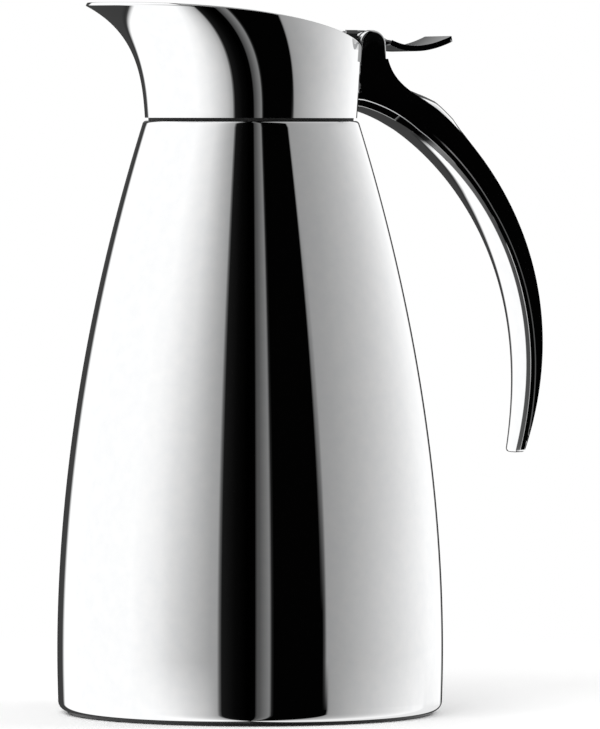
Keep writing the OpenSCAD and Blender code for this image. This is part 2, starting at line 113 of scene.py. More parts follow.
# The room as (degrees from the camera, grey from 0 to 255), in three bands of height. The
# flags are nearly black, with a grey gap between them. The sheets beyond are white and fade
# towards the flags, and the far side of the room, which outlines the jug, is dark.
flags = [(-18.9, 152), (-18.0, 24), (-14.0, 17), (-9.0, 6), (-2.0, 0), (3.1, 1), (4.1, 70),
         (5.5, 77), (11.3, 122), (12.0, 122), (12.7, 2)]
low = [(-180, 60), (-156, 60), (-152, 40), (-148, 255), (-60, 255), (-46, 238), (-32, 206),
       (-25, 186), *flags, (46.9, 2), (47.9, 147), (61, 172), (78, 197), (95, 222), (117, 247),
       (127, 250), (130, 235), (165, 225), (167, 38)]
level = [(-180, 50), (-156, 60), (-152, 60), (-147, 255), (-76, 254), (-64, 243), (-56, 233),
         (-48, 213), (-37, 190), (-29, 171), (-24, 158), *flags, (44.8, 2), (45.8, 147),
         (56, 158), (73, 181), (92, 206), (115, 232), (135, 249), (161, 252), (165.5, 40)]
high = [(-168, 150), (-162, 60), (-156, 50), (-152, 30), (-147, 255), (-64, 255), (-57, 246),
        (-42, 224), (-35, 203), (-28, 180), *flags, (42.7, 2), (43.7, 147), (60, 155),
        (79, 168), (95, 177), (115, 191), (135, 201), (150, 219), (160, 250), (166, 45),
        (176, 150)]
low_band, level_band, high_band = (
    add(sky, "ShaderNodeValToRGB",
        {"stops": [((degrees + 180) / 360, "#%02X%02X%02X" % (grey, grey, grey))
                   for degrees, grey in band]}, i0=around.outputs[0]).outputs["Color"]
    for band in (low, level, high))
to_level = add(sky, "ShaderNodeMapRange", {"From Min": -0.14, "From Max": -0.07}, i0=up)
to_high = add(sky, "ShaderNodeMapRange", {"From Min": 0.0, "From Max": 0.45}, i0=up)
lower = add(sky, "ShaderNodeMix", {"data_type": "RGBA"}, i0=to_level.outputs[0], i6=low_band,
            i7=level_band)
sheets = add(sky, "ShaderNodeMix", {"data_type": "RGBA"}, i0=to_high.outputs[0],
             i6=lower.outputs[2], i7=high_band)
ray = add(sky, "ShaderNodeLightPath").outputs
shine = add(sky, "ShaderNodeBackground", {"Strength": 1.25}, Color=sheets.outputs[2])
room = add(sky, "ShaderNodeBackground", {"Color": linear("#FFFFFF"), "Strength": 0.8})
backdrop = add(sky, "ShaderNodeBackground", {"Color": linear("#FFFFFF"), "Strength": 1.0})
lit = add(sky, "ShaderNodeMixShader", i0=ray["Is Glossy Ray"], i1=room.outputs[0],
          i2=shine.outputs[0])
seen = add(sky, "ShaderNodeMixShader", i0=ray["Is Camera Ray"], i1=lit.outputs[0],
           i2=backdrop.outputs[0])
add(sky, "ShaderNodeOutputWorld", Surface=seen.outputs[0])

# name, place in metres, side in metres and watts of each lamp
for name, place, size, power in (("softbox_left", (-1.1, -0.9, 1.5), 1.2, 16),
                                 ("softbox_right", (1.3, -0.3, 1.2), 1.0, 7)):
    lamp = bpy.data.lights.new(name, "AREA")
    lamp.size, lamp.energy = size, power
    box = bpy.data.objects.new(name, lamp)
    box.location = place
    box.rotation_euler = (Vector((0, 0, 0.1)) - Vector(place)).to_track_quat("-Z", "Y").to_euler()
    box.visible_glossy = False
    bpy.context.scene.collection.objects.link(box)


def new_material(name):
    """A new material, its empty node tree, and the Object coordinates that its patterns read."""
    material = bpy.data.materials.new(name)
    material.use_nodes = True
    tree = material.node_tree
    tree.nodes.clear()
    return material, tree, add(tree, "ShaderNodeTexCoord").outputs["Object"]


def white_laminate():
    """Matt white laminate, so smooth that it reads as plain white with the jug's soft shadow on
    it. Away from the jug the camera sees it fade to the white of the room, without a horizon."""
    material, tree, place = new_material("white laminate table")
    # faint specks, about 1 mm across
    speck = add(tree, "ShaderNodeTexNoise", {"Scale": 900.0, "Detail": 2.0}, Vector=place)
    tint = add(tree, "ShaderNodeValToRGB", {"stops": [(0.3, "#FDFDFD"), (0.7, "#FFFFFF")]},
               Fac=speck.outputs[0])
    matt = add(tree, "ShaderNodeBsdfPrincipled", {"Roughness": 0.7, "Specular IOR Level": 0.1},
               Base_Color=tint.outputs[0])
    # the fade runs from 10 to 42 cm from the body's axis
    distance = add(tree, "ShaderNodeVectorMath", {"operation": "LENGTH"}, i0=place)
    away = add(tree, "ShaderNodeMapRange",
               {"From Min": 0.10, "From Max": 0.42, "interpolation_type": "SMOOTHSTEP"},
               i0=distance.outputs["Value"])
    plain = add(tree, "ShaderNodeEmission", {"Color": linear("#FFFFFF"), "Strength": 1.0})
    ray = add(tree, "ShaderNodeLightPath").outputs
    faded = add(tree, "ShaderNodeMath", {"operation": "MULTIPLY"}, i0=away.outputs[0],
                i1=ray["Is Camera Ray"])
    both = add(tree, "ShaderNodeMixShader", i0=faded.outputs[0], i1=matt.outputs[0],
               i2=plain.outputs[0])
    add(tree, "ShaderNodeOutputMaterial", Surface=both.outputs[0])
    return material


TABLE_RADIUS, TABLE_CORNERS = 2600, 96
round_table = np.linspace(0, 2 * np.pi, TABLE_CORNERS, endpoint=False)
disc = TABLE_RADIUS * np.stack([np.cos(round_table), np.sin(round_table), 0 * round_table], 1)
mesh = bpy.data.meshes.new("table")
mesh.from_pydata((disc * MM).tolist(), [], [list(range(TABLE_CORNERS))])
mesh.materials.append(white_laminate())
table = bpy.data.objects.new("table", mesh)
bpy.context.scene.collection.objects.link(table)
table.visible_glossy = False

# ---- Steel body ----------------------------------------------------------------------
# The outer shell, spun from 0.7 mm stainless sheet and polished to a mirror. Its foot is
# turned in under the jug and its top is turned in under the seam.
SHEET = 0.7
WIDEST, WIDEST_UP = 66.84, 22  # outside radius of the widest ring, and its height
SEAM_UP, TAKEN_IN = 205, 29.64  # height of the seam, and how much narrower the wall is there
WALL_FOOT, WALL_TOP = 4.2, 203.99  # heights at which the wall leaves the two turned-in edges
FOOT_BEND, TOP_BEND, TOP_BEND_UP = 3.2, 1.4, 203.6
HEM, NECK = 60, 31.5  # inner radii of the two turned-in edges


def surface(name, points, material, body, row_loop=False, caps=False, sharp=40):
    """Mesh through a grid of points in mm, rows x columns x 3, with every row a closed ring.
    row_loop joins the last row to the first; caps closes both with a fan. Edges sharper than
    `sharp` degrees stay crisp."""
    rows, columns = points.shape[:2]
    r, c = (a.ravel() for a in np.meshgrid(np.arange(rows if row_loop else rows - 1),
                                           np.arange(columns), indexing="ij"))
    r2, c2 = (r + 1) % rows, (c + 1) % columns
    faces = np.stack([r * columns + c, r * columns + c2, r2 * columns + c2, r2 * columns + c],
                     1).tolist()
    verts = points.reshape(-1, 3)
    if caps:
        verts = np.concatenate([verts, [points[0].mean(0), points[-1].mean(0)]])
        c = np.arange(columns)
        n = (c + 1) % columns
        first, last = rows * columns, rows * columns + 1
        faces += np.stack([np.full(columns, first), n, c], 1).tolist()
        faces += np.stack([np.full(columns, last), (rows - 1) * columns + c,
                           (rows - 1) * columns + n], 1).tolist()
    mesh = bpy.data.meshes.new(name)
    mesh.from_pydata((verts * MM).tolist(), [], faces)
    mesh.shade_smooth()
    mesh.set_sharp_from_angle(angle=math.radians(sharp))
    mesh.validate()
    mesh.materials.append(material)
    piece = bpy.data.objects.new(name, mesh)
    bpy.context.scene.collection.objects.link(piece)
    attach(piece, body)
    return piece


def turned(profile, steps):
    """Grid of a closed outline of (radius r, height z) points carried round the upright axis:
    x = r cos(a), y = r sin(a)."""
    a = np.linspace(0, 2 * np.pi, steps, endpoint=False)
    r, z = np.asarray(profile, float).T
    return np.stack([r[:, None] * np.cos(a), r[:, None] * np.sin(a),
                     np.repeat(z[:, None], steps, 1)], 2)


def arc(centre, radius, start, end, steps):
    """Points of an arc between two angles in degrees: centre + radius * (cos, sin)."""
    a = np.radians(np.linspace(start, end, steps + 1))
    return np.stack([centre[0] + radius * np.cos(a), centre[1] + radius * np.sin(a)], 1)


def polished_steel(name, tones, roughness):
    """Polished stainless steel: nearly colourless and mirror-bright. A fine haze breaks the
    gloss as polishing and handling do, and a faint long wave bends reflections."""
    material, tree, place = new_material(name)
    # polishing haze, about 4 mm across
    haze = add(tree, "ShaderNodeTexNoise", {"Scale": 240.0, "Detail": 3.0}, Vector=place)
    tone = add(tree, "ShaderNodeValToRGB", {"stops": [(0.25, tones[0]), (0.75, tones[1])]},
               Fac=haze.outputs[0])
    gloss = add(tree, "ShaderNodeMapRange", {"From Min": 0.3, "From Max": 0.7,
                                             "To Min": roughness * 0.8, "To Max": roughness * 1.25},
                i0=haze.outputs[0])
    # sheet waviness, about 60 mm long and a few thousandths of a mm deep
    wave = add(tree, "ShaderNodeTexNoise", {"Scale": 16.0, "Detail": 1.0}, Vector=place)
    relief = add(tree, "ShaderNodeBump", {"Strength": 0.03, "Distance": 0.0002},
                 Height=wave.outputs[0])
    shader = add(tree, "ShaderNodeBsdfPrincipled", {"Metallic": 1.0}, Base_Color=tone.outputs[0],
                 Roughness=gloss.outputs[0], Normal=relief.outputs[0])
    add(tree, "ShaderNodeOutputMaterial", Surface=shader.outputs[0])
    return material


mirror_steel = polished_steel("mirror polished stainless sheet", ("#E4E5E6", "#E9E9E9"), 0.012)


def body_radius(z):
    """Radius of the body's outside: the widest ring's, less a power of the distance from it."""
    return WIDEST - TAKEN_IN * (np.abs(z - WIDEST_UP) / (SEAM_UP - WIDEST_UP)) ** 1.93


wall_up = np.linspace(WALL_FOOT, WALL_TOP, 150)
foot_centre = (float(body_radius(WALL_FOOT)) - FOOT_BEND, WALL_FOOT)
top_centre = (float(body_radius(WALL_TOP)) - TOP_BEND * math.cos(math.radians(17)), TOP_BEND_UP)
shell_outline = np.concatenate([
    # the cut edge under the jug, then up the outside
    [[HEM, 1.7], [HEM, 1.35], [HEM, 1.0], [HEM + 0.4, 1.0]],
    arc(foot_centre, FOOT_BEND, -90, -4, 10),
    np.stack([body_radius(wall_up), wall_up], 1)[1:-1],
    arc(top_centre, TOP_BEND, 20, 90, 8),
    # the cut edge round the neck, then down the inside
    [[NECK + 1.5, SEAM_UP], [NECK + 0.2, SEAM_UP], [NECK, SEAM_UP - 0.1], [NECK, SEAM_UP - 0.6],
     [NECK + 0.2, SEAM_UP - SHEET], [NECK + 1.5, SEAM_UP - SHEET]],
    arc(top_centre, TOP_BEND - SHEET, 90, 20, 4),
    np.stack([body_radius(wall_up) - SHEET, wall_up], 1)[-2:0:-6],
    arc(foot_centre, FOOT_BEND - SHEET, -4, -90, 6)])
shell = surface("steel_body", turned(shell_outline, 320)[:, ::-1], mirror_steel, "jug",
                row_loop=True, sharp=50)
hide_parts("outer_shell")

# ---- Base ----------------------------------------------------------------------------
# Black polypropylene ring and screwed cap that close the body from below, moulded with a
# fine matt grain, and the rubber pad glued into the cap that the jug stands on.


def dress(nodes, material):
    """Gives carried-over parts their material."""
    for node in nodes:
        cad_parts[node].data.materials.clear()
        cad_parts[node].data.materials.append(material)


def moulded_polypropylene():
    """Black polypropylene from a grained mould: matt, with a soft even sheen."""
    material, tree, place = new_material("matt black polypropylene")
    # slight clouding of the black, about 17 mm across
    cloud = add(tree, "ShaderNodeTexNoise", {"Scale": 60.0, "Detail": 2.0}, Vector=place)
    dark = add(tree, "ShaderNodeValToRGB", {"stops": [(0.3, "#18181A"), (0.7, "#1E1E20")]},
               Fac=cloud.outputs[0])
    # mould grain, about 0.4 mm across
    grain = add(tree, "ShaderNodeTexNoise", {"Scale": 2600.0, "Detail": 2.0}, Vector=place)
    dull = add(tree, "ShaderNodeMapRange", {"From Min": 0.3, "From Max": 0.7, "To Min": 0.38,
                                            "To Max": 0.52}, i0=grain.outputs[0])
    relief = add(tree, "ShaderNodeBump", {"Strength": 0.2, "Distance": 0.00004},
                 Height=grain.outputs[0])
    shader = add(tree, "ShaderNodeBsdfPrincipled", {"IOR": 1.49}, Base_Color=dark.outputs[0],
                 Roughness=dull.outputs[0], Normal=relief.outputs[0])
    add(tree, "ShaderNodeOutputMaterial", Surface=shader.outputs[0])
    return material


def moulded_rubber():
    """Black rubber from a smooth mould: dull, and a little grey where dust and hands left it."""
    material, tree, place = new_material("matt black rubber")
    # dust and handling, in patches about 12 mm across
    dust = add(tree, "ShaderNodeTexNoise", {"Scale": 80.0, "Detail": 4.0}, Vector=place)
    dark = add(tree, "ShaderNodeValToRGB", {"stops": [(0.35, "#1B1B1B"), (0.7, "#262626")]},
               Fac=dust.outputs[0])
    shader = add(tree, "ShaderNodeBsdfPrincipled", {"Roughness": 0.75, "IOR": 1.52},
                 Base_Color=dark.outputs[0])
    add(tree, "ShaderNodeOutputMaterial", Surface=shader.outputs[0])
    return material


black_plastic = moulded_polypropylene()
dress(("base_ring", "base_cap", "neck_collar", "pour_funnel", "plug_cap"), black_plastic)
dress(("foot_pad", "flask_cushion", "shoulder_gasket", "seam_ring"), moulded_rubber())

# ---- Flask ---------------------------------------------------------------------------
# Two blown glass vessels fused at the lip, silvered on the sides that face each other, with
# small fibre pads between them. The silver makes the glass a mirror from both sides.


def silvered_glass():
    """Glass with silver behind it: a slightly grey mirror with long soft streaks."""
    material, tree, place = new_material("silvered glass")
    # streaks that the silvering leaves, about 30 mm long
    streak = add(tree, "ShaderNodeTexNoise", {"Scale": 34.0, "Detail": 3.0, "Distortion": 0.4},
                 Vector=place)
    tone = add(tree, "ShaderNodeValToRGB", {"stops": [(0.3, "#D2D3D6"), (0.7, "#E2E2E2")]},
               Fac=streak.outputs[0])
    shader = add(tree, "ShaderNodeBsdfPrincipled", {"Metallic": 1.0, "Roughness": 0.06},
                 Base_Color=tone.outputs[0])
    add(tree, "ShaderNodeOutputMaterial", Surface=shader.outputs[0])
    return material


def pressed_fibre():
    """Pressed mineral fibre: dead matt, in mixed pale browns."""
    material, tree, place = new_material("pressed fibre")
    # fibres about 0.5 mm thick
    mat = add(tree, "ShaderNodeTexNoise", {"Scale": 2000.0, "Detail": 4.0}, Vector=place)
    tone = add(tree, "ShaderNodeValToRGB", {"stops": [(0.3, "#A79D88"), (0.7, "#C4BAA4")]},
               Fac=mat.outputs[0])
    shader = add(tree, "ShaderNodeBsdfPrincipled", {"Roughness": 0.95}, Base_Color=tone.outputs[0])
    add(tree, "ShaderNodeOutputMaterial", Surface=shader.outputs[0])
    return material


dress(("flask_outer", "flask_inner"), silvered_glass())
dress(("spacer_pads",), pressed_fibre())

# ---- Pouring head --------------------------------------------------------------------
# Drawn from steel sheet in one piece, with a flared spout and a rim that falls towards the
# hinge, and polished with the body. It sits on the funnel's flange, and its lining of black
# polypropylene is clipped in under the rim.
HEAD_FOOT, SPOUT_TALL = 206, 39.5  # height of the foot, and of the spout above it
FOOT_RADIUS, FLARE = 36.7, 2.7
FRONT_REACH, BEAK_REACH, CHEEK_SWELL = 16, 6, 0.086
RIM_UP, RIM_FALL = 244.5, 15.2
LINING_FOOT = 213


def front(a):
    """How far round towards the spout: (1 - cos a) / 2, 0 at the handle and 1 at the spout."""
    return (1 - np.cos(a)) / 2


def rise(z):
    """Height above the head's foot, as a share of the spout's."""
    return np.maximum(0, z - HEAD_FOOT) / SPOUT_TALL


def round_radius(z):
    """Radius of the head's plan before the spout is drawn out: a straight line up the wall."""
    return FOOT_RADIUS + FLARE * rise(z)


def head_skin(a, z):
    """The head's outside. Its plan is a circle that widens with height; towards the spout a
    broad front and a narrow beak are drawn out of it, each by a power of the height, and the
    cheeks swell sideways."""
    r, h, f = round_radius(z), rise(z), front(a)
    reach = FRONT_REACH * h ** 2.9 * f + BEAK_REACH * h ** 7.5 * f ** 6
    swell = 1 + CHEEK_SWELL * h ** 1.6 * f ** 2.6
    return np.stack([r * np.cos(a) - reach, r * np.sin(a) * swell, z + 0 * a], -1)


def head_rim(a):
    """Height of the rim: level round the spout, falling to the hinge by a power of cos a."""
    return RIM_UP - RIM_FALL * ((1 + np.cos(a)) / 2) ** 2.3


def head_outward(a, z):
    """Unit normal of the head's outside, from small steps round and up."""
    n = np.cross(head_skin(a + 0.004, z) - head_skin(a - 0.004, z),
                 head_skin(a, z + 0.05) - head_skin(a, z - 0.05))
    return n / np.linalg.norm(n, axis=-1, keepdims=True)


def head_wall(foot, drop, spout_drop, outer, inner, edge, rows, columns):
    """Closed wall that follows the head's outside between two depths under it, with a rounded
    top edge. drop and spout_drop lower its top from the rim. Each row is a ring; rows run up
    the outside, over the edge and down the inside."""
    a = np.linspace(0, 2 * np.pi, columns, endpoint=False)
    top = head_rim(a) - drop - spout_drop * front(a) ** 4
    climb = head_skin(a, top) - head_skin(a, top - 0.1)
    lift = climb[:, 2] / np.linalg.norm(climb, axis=1)
    share = 1 - (1 - np.linspace(0, 1, rows)) ** 1.25
    over = np.radians(np.linspace(0, 90, 6))
    back = edge * (1 - np.sin(over))
    deep = edge * (1 - np.cos(over))
    rings = [(foot + (top - edge * lift - foot) * s, outer) for s in share[:-1]]
    rings += [(top - b * lift, outer + d) for b, d in zip(back, deep)]
    rings += [(top - b * lift, inner - d) for b, d in zip(back[::-1], deep[::-1])]
    rings += [(foot + (top - edge * lift - foot) * s, inner) for s in share[:-1][::-1]]
    return np.stack([head_skin(a, z) - depth * head_outward(a, z) for z, depth in rings])


head = surface("steel_head", head_wall(HEAD_FOOT, drop=0, spout_drop=0, outer=0, inner=1.25,
                                       edge=0.3, rows=90, columns=360),
               mirror_steel, "jug", row_loop=True, sharp=50)
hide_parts("head_shell")
lining = surface("head_inside", head_wall(LINING_FOOT, drop=0.6, spout_drop=3.2, outer=1.3,
                                          inner=3.8, edge=0.6, rows=40, columns=240),
                 black_plastic, "jug", row_loop=True, sharp=50)
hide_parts("head_lining")

# ---- Handle --------------------------------------------------------------------------
# One stainless casting, ground and polished: a pad against the head, a post with two ears
# for the hinge, and a hook that tapers to a rounded free end. Two screws from inside the
# head hold it.
POST_TOP, POST_BACK = 226.6, 47.6  # height of the post's flat top, and where it ends
HALF_ROOT, HALF_END = 9.18, 5.4  # half widths of the hook at its root and its free end
PIN_X, PIN_UP = 41.9, 231.6
DRAFT = 0.02  # how much a side leans in for each mm towards the head or the finger side

cast_steel = polished_steel("polished stainless casting", ("#E2E3E4", "#E8E8E8"), 0.02)


def cubic(p, t):
    """Points at t of a cubic curve with four control points: the sum of p[k] times
    binomial(3, k) (1 - t)^(3 - k) t^k."""
    p, t = np.asarray(p, float), np.asarray(t)[:, None]
    return ((1 - t) ** 3 * p[0] + 3 * (1 - t) ** 2 * t * p[1] + 3 * (1 - t) * t * t * p[2]
            + t ** 3 * p[3])


def along(path, share):
    """Points at shares of a polyline's length."""
    d = np.concatenate([[0], np.cumsum(np.linalg.norm(np.diff(path, axis=0), axis=1))])
    return np.stack([np.interp(share * d[-1], d, path[:, k]) for k in range(2)], 1)


def head_back(y, z):
    """Where the back of the head is: the x of its circle at a side distance y and a height z."""
    return np.sqrt(round_radius(z) ** 2 - y ** 2)


# Seen from the side: the finger side from the head down to the free end, and the edge of the
# back, down the post and then along the hook
finger_line = cubic([[36.6, 210.4], [59.9, 207.0], [117.7, 165.0], [97.1, 83.6]],
                    np.linspace(0, 0.972, 240))
post_edge = cubic([[POST_BACK, POST_TOP], [49.2, 221.0], [52.3, 217.2], [61.5, 212.3]],
                  np.linspace(0, 1, 60))
hook_edge = cubic([[65.7, 209.6], [65.7, 209.7], [138.9, 158.0], [90.7, 62.4]],
                  np.linspace(0, 0.897, 200))
back_edge = np.concatenate([post_edge, hook_edge])
# Stations: a fan that starts upright against the head, runs along the flat top of the post and
# down its back, and stands square on the hook from there on
top, fan, on_hook = 10, 34, 100
root = top + fan - 2
top_in, fan_in, fan_back = 0.045, 0.155, 0.215  # shares of the two lines that they end at
flat_top = np.stack([np.linspace(FOOT_RADIUS + 0.05, POST_BACK, top), np.full(top, POST_TOP)], 1)
front_line = along(finger_line, np.concatenate([
    np.linspace(0, top_in, top), np.linspace(top_in, fan_in, fan)[1:],
    np.linspace(fan_in, 1, on_hook)[1:]]))
rear_line = np.concatenate([flat_top, along(back_edge, np.concatenate([
    np.linspace(0, fan_back, fan)[1:], np.linspace(fan_back, 1, on_hook)[1:]]))])
station = np.arange(len(rear_line))
# the width falls by a power of the way along the hook
taper = np.clip((station - root) / (on_hook - 1), 0, 1)
half_width = (HALF_ROOT - (HALF_ROOT - HALF_END)
              * (0.14 * (taper > 0) + 0.86 * taper) ** 4.5)[:, None]
# how far the crowned back stands proud of its edges: most where the post runs into the hook
crown = np.interp(station, [0, 9, 13, 17, 21, 25, 29, 33, 41, 45, 50, 62, 85, 125, 142],
                  [0, 0, 0.6, 0.3, 0.4, 1.7, 2.75, 3.9, 4.0, 2.9, 2.1, 1.3, 0.6, 0.6, 1.0])[:, None]
# the two bevels beside the finger side are wider at the root
bevel = np.interp(station, [0, root, root + 30], [1.6, 1.5, 1.0])[:, None]
# the finger side is crowned too, most of all at its root
finger_crown = np.interp(station, [0, root, root + 25, len(station)],
                         [0.36, 0.3, 0.2, 0.19])[:, None]

# Half section, from the middle of the finger side to the middle of the back. Each row gives a
# share of the half width, a depth in bevels, an inset from the full half width in bevels, a
# share of the flank and a share of the crown.
BOTH_BEVELS, FIRST_INSET = 3.6, 0.85
half = [[share, 0, 0, 0, 0] for share in (0.0, 0.2, 0.4, 0.6, 0.8, 0.97)]
half += [[1, deep, inset, 0, 0] for deep, inset in
         ((0.0, FIRST_INSET), (0.10, 0.79), (1.40, 0.37), (1.55, 0.26), (3.00, 0.13), (3.35, 0.02))]
half += [[1, 3.5, 0.01, 0.01, 0]]
half += [[1, BOTH_BEVELS, 0, share, 0] for share in (0.06, 0.5, 0.97)]
half += [[math.cos(share * math.pi / 2), BOTH_BEVELS, 0, 1, share]
         for share in np.linspace(0, 1, 12)]
section = np.array(half + half[-2:0:-1])
near_side = np.where(np.arange(len(section)) < len(half), 1.0, -1.0)
face, bevel_in, inset, flank, bulge = (section[None, :, k] for k in range(5))
on_face = (bevel_in == 0) & (flank == 0) & (face < 1)
on_back = bulge > 0
across = rear_line - front_line
depth = np.linalg.norm(across, axis=1)[:, None]
outward = across / depth
# where the hook leaves the head, nearly level, the bevels are cut steeper
cut = bevel / np.clip(outward[:, :1], 0.66, 1)
face_half = half_width - FIRST_INSET * cut
wide = np.where(on_face, face * face_half, half_width - inset * cut)
wide = np.where(on_back, face * half_width, wide)
# depth of each point behind the front line: a parabola across the finger side, the bevels,
# then the flank's share of what is left, and a second parabola across the back
deep = np.where(on_face, (wide ** 2 - face_half ** 2) / (2 * face_half) * finger_crown,
                bevel_in * bevel)
flank_depth = np.maximum(depth - BOTH_BEVELS * bevel, 0.3)
deep = np.where(flank > 0, depth - flank_depth * (1 - flank), np.minimum(deep, depth - flank_depth))
deep += np.where(on_back, crown * (1 - face ** 2), 0)
grid = front_line[:, None, :] + deep[..., None] * outward[:, None, :]
# the casting's draft: its sides are widest at the back edge of the post and of the hook, and
# lean in towards the head and towards the finger side
behind = np.maximum(rear_line[:, :1], POST_BACK)
wide -= (DRAFT * np.clip(behind - grid[..., 0], 0, 30)
         + 1.1 * DRAFT * np.clip(depth - deep, 0, 24)) * (wide > 0.6 * half_width)
width = wide * near_side
# the first rings press against the head's round wall
lean = np.clip(1 - station / 3, 0, 1)[:, None]
onto = head_back(width, grid[..., 1]) - 0.2
hook = np.stack([grid[..., 0] + lean * (onto - grid[..., 0]), width, grid[..., 1]], 2)
# the free end is rounded over: the last ring shrinks about its middle as it moves on
TIP_ROUND = 1.5
last = hook[-1]
middle = last.mean(0)
onward = finger_line[-1] - finger_line[-3]
onward /= np.linalg.norm(onward)
tip = np.stack([middle + (last - middle) * (0.62 + 0.38 * math.cos(b))
                + TIP_ROUND * math.sin(b) * np.array([onward[0], 0, onward[1]])
                for b in np.radians([25, 50, 70, 84])])
hook = np.concatenate([hook, tip])
casting = surface("handle_hook", hook[:, ::-1], cast_steel, "jug", caps=True,
                  sharp=12)
# the body's mirror would show the hook as a dark streak over its clean white side
casting.visible_glossy = False
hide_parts("handle")


def rounded_plate(outline, y0, y1, edge):
    """A plate between two depths y0 and y1 with rounded edges: the outline, listed anticlockwise
    as (x, z), is inset along its own normals by a quarter circle as it nears either face. The
    radius of the edge is one number or one for each point."""
    outline = np.asarray(outline, float)
    step = np.roll(outline, -1, 0) - np.roll(outline, 1, 0)
    normal = np.stack([step[:, 1], -step[:, 0]], 1) / np.linalg.norm(step, axis=1)[:, None]
    edge = np.broadcast_to(edge, len(outline))
    flat = np.zeros(len(outline))
    a = np.radians(np.linspace(0, 90, 6))
    near = [(edge + 0.25, y0 + flat)]
    near += [(edge * (1 - math.sin(b)), y0 + edge * (1 - math.cos(b))) for b in a]
    far = [(edge * (1 - math.sin(b)), y1 - edge * (1 - math.cos(b))) for b in a[::-1]]
    far += [(edge + 0.25, y1 + flat)]
    return np.stack([np.stack([outline[:, 0] - normal[:, 0] * inset, y,
                               outline[:, 1] - normal[:, 1] * inset], 1) for inset, y in near + far])


# The two ears that hold the pin: a dome over the pin, upright behind and softly rounded where
# they face the head. Each takes in its outer side by the draft, and its foot runs out inside
# the post.
EAR_INSIDE, EAR_FOOT, EAR_BACK = 5.5, 225.2, 46.9
dome_turn = np.linspace(0, 172, 31)
dome = arc((PIN_X - 0.15, PIN_UP), 4.95, 0, 172, 30)
ear = np.concatenate([
    [[37.6, EAR_FOOT], [42, EAR_FOOT], [EAR_BACK, EAR_FOOT], [EAR_BACK, 229.0]], dome,
    [[37.2, 230.9], [37.4, 229.6], [37.6, 228.6]]])
ear_edge = np.concatenate([
    [0.02, 0.02, 0.02, 0.3],
    np.interp(dome_turn, [0, 40, 100, 140, 172], [0.3, 0.35, 0.8, 1.5, 1.5]), [1.2, 0.6, 0.02]])
for name, low_y, high_y in (("ear_near", -HALF_ROOT - 0.02, -EAR_INSIDE),
                            ("ear_far", EAR_INSIDE, HALF_ROOT + 0.02)):
    plate = rounded_plate(ear, low_y, high_y, ear_edge)
    outside = np.sign(plate[..., 1]) * (np.abs(plate[..., 1]) > EAR_INSIDE + 0.1)
    plate[..., 1] -= outside * (DRAFT * np.clip(POST_BACK - plate[..., 0], 0, 30)
                                + 0.05 * np.clip(POST_TOP + 0.3 - plate[..., 2], 0, 2))
    surface(name, plate, cast_steel, "jug", caps=True, sharp=30)
# The pad under the post, which follows the head's wall down to its foot and narrows on the
# way. Its back is flat, and runs in by quarter circles at its toe and at its two sides.
PAD_FOOT, PAD_TOP, PAD_BACK = 206.4, 218, 37.75
TOE_ROUND, SIDE_ROUND = 1.2, 0.3


def quarter(t):
    """How far a quarter circle has run in, 0 to 1, at a share t of its length."""
    return 1 - np.sqrt(1 - np.clip(t, 0, 1) ** 2)


side_share, pad_up = np.meshgrid(np.linspace(-1, 1, 33), np.linspace(PAD_FOOT, PAD_TOP, 26),
                                 indexing="ij")
pad_side = side_share * np.interp(pad_up, [206, 210.5, 212, 214.5, 216.5, 218],
                                  [5.0, 5.1, 5.6, 8.0, 8.85, 8.85])
pad_outside = (PAD_BACK - TOE_ROUND * quarter((PAD_FOOT + TOE_ROUND - pad_up) / TOE_ROUND)
               - SIDE_ROUND * quarter((np.abs(side_share) - 0.95) / 0.05))
pad_inside = head_back(pad_side, pad_up) - 0.15
pad = np.concatenate([np.stack([pad_outside, pad_side, pad_up], 2),
                      np.stack([pad_inside, pad_side, pad_up], 2)[::-1]])
surface("handle_pad", pad.transpose(1, 0, 2), cast_steel, "jug", caps=True)

# ---- Screws, pin and spring ----------------------------------------------------------
# Plain stainless screws through the head into the handle, the ground hinge pin pressed into
# the ears, and the wound spring that closes the lid. Turned steel is greyer than polished.
dress(("handle_screws", "hinge_pin", "lid_spring", "lever_screws", "plug_screw"),
      polished_steel("turned stainless steel", ("#C2C3C5", "#CBCBCC"), 0.22))

# ---- Thumb lever ---------------------------------------------------------------------
# A pressed strip of 2 mm stainless steel, polished: it lies in the lid, runs over the hinge,
# dips and widens to a thumb rest that is cut off upright. The barrel round the pin is
# welded on.
LEVER_THICK, LEVER_EDGE = 2.0, 0.04
LEVER_END = 70.8
BARREL_RADIUS, BARREL_HALF = 4.0, 5.15

flat_in_lid = np.stack([np.linspace(22, 39.5, 12), np.full(12, 235.5)], 1)
over_hinge = cubic([[39.5, 235.5], [43.5, 235.5], [46.0, 233.6], [49.2, 232.1]],
                   np.linspace(0, 1, 16))
dip = cubic([[49.2, 232.1], [54.6, 229.4], [61.9, 229.2], [72.4, 234.5]], np.linspace(0, 1, 60))
strip = np.concatenate([flat_in_lid[:-1], over_hinge[:-1], dip])
strip = strip[strip[:, 0] < LEVER_END + 0.35]
run = np.gradient(strip, axis=0)
above = np.stack([-run[:, 1], run[:, 0]], 1) / np.hypot(run[:, 0], run[:, 1])[:, None]


def strip_section(half_w):
    """Closed section of the strip, a rectangle with quarter circles at its corners: its width
    is along y and its thickness along the strip's normal."""
    a = np.radians(np.linspace(0, 90, 5))
    corner_y, corner_n = half_w - LEVER_EDGE, LEVER_THICK / 2 - LEVER_EDGE
    corners = [(1, 1, a), (-1, 1, a[::-1]), (-1, -1, a), (1, -1, a[::-1])]
    return np.array([[sy * (corner_y + LEVER_EDGE * math.cos(b)),
                      sn * (corner_n + LEVER_EDGE * math.sin(b))]
                     for sy, sn, angles in corners for b in angles])


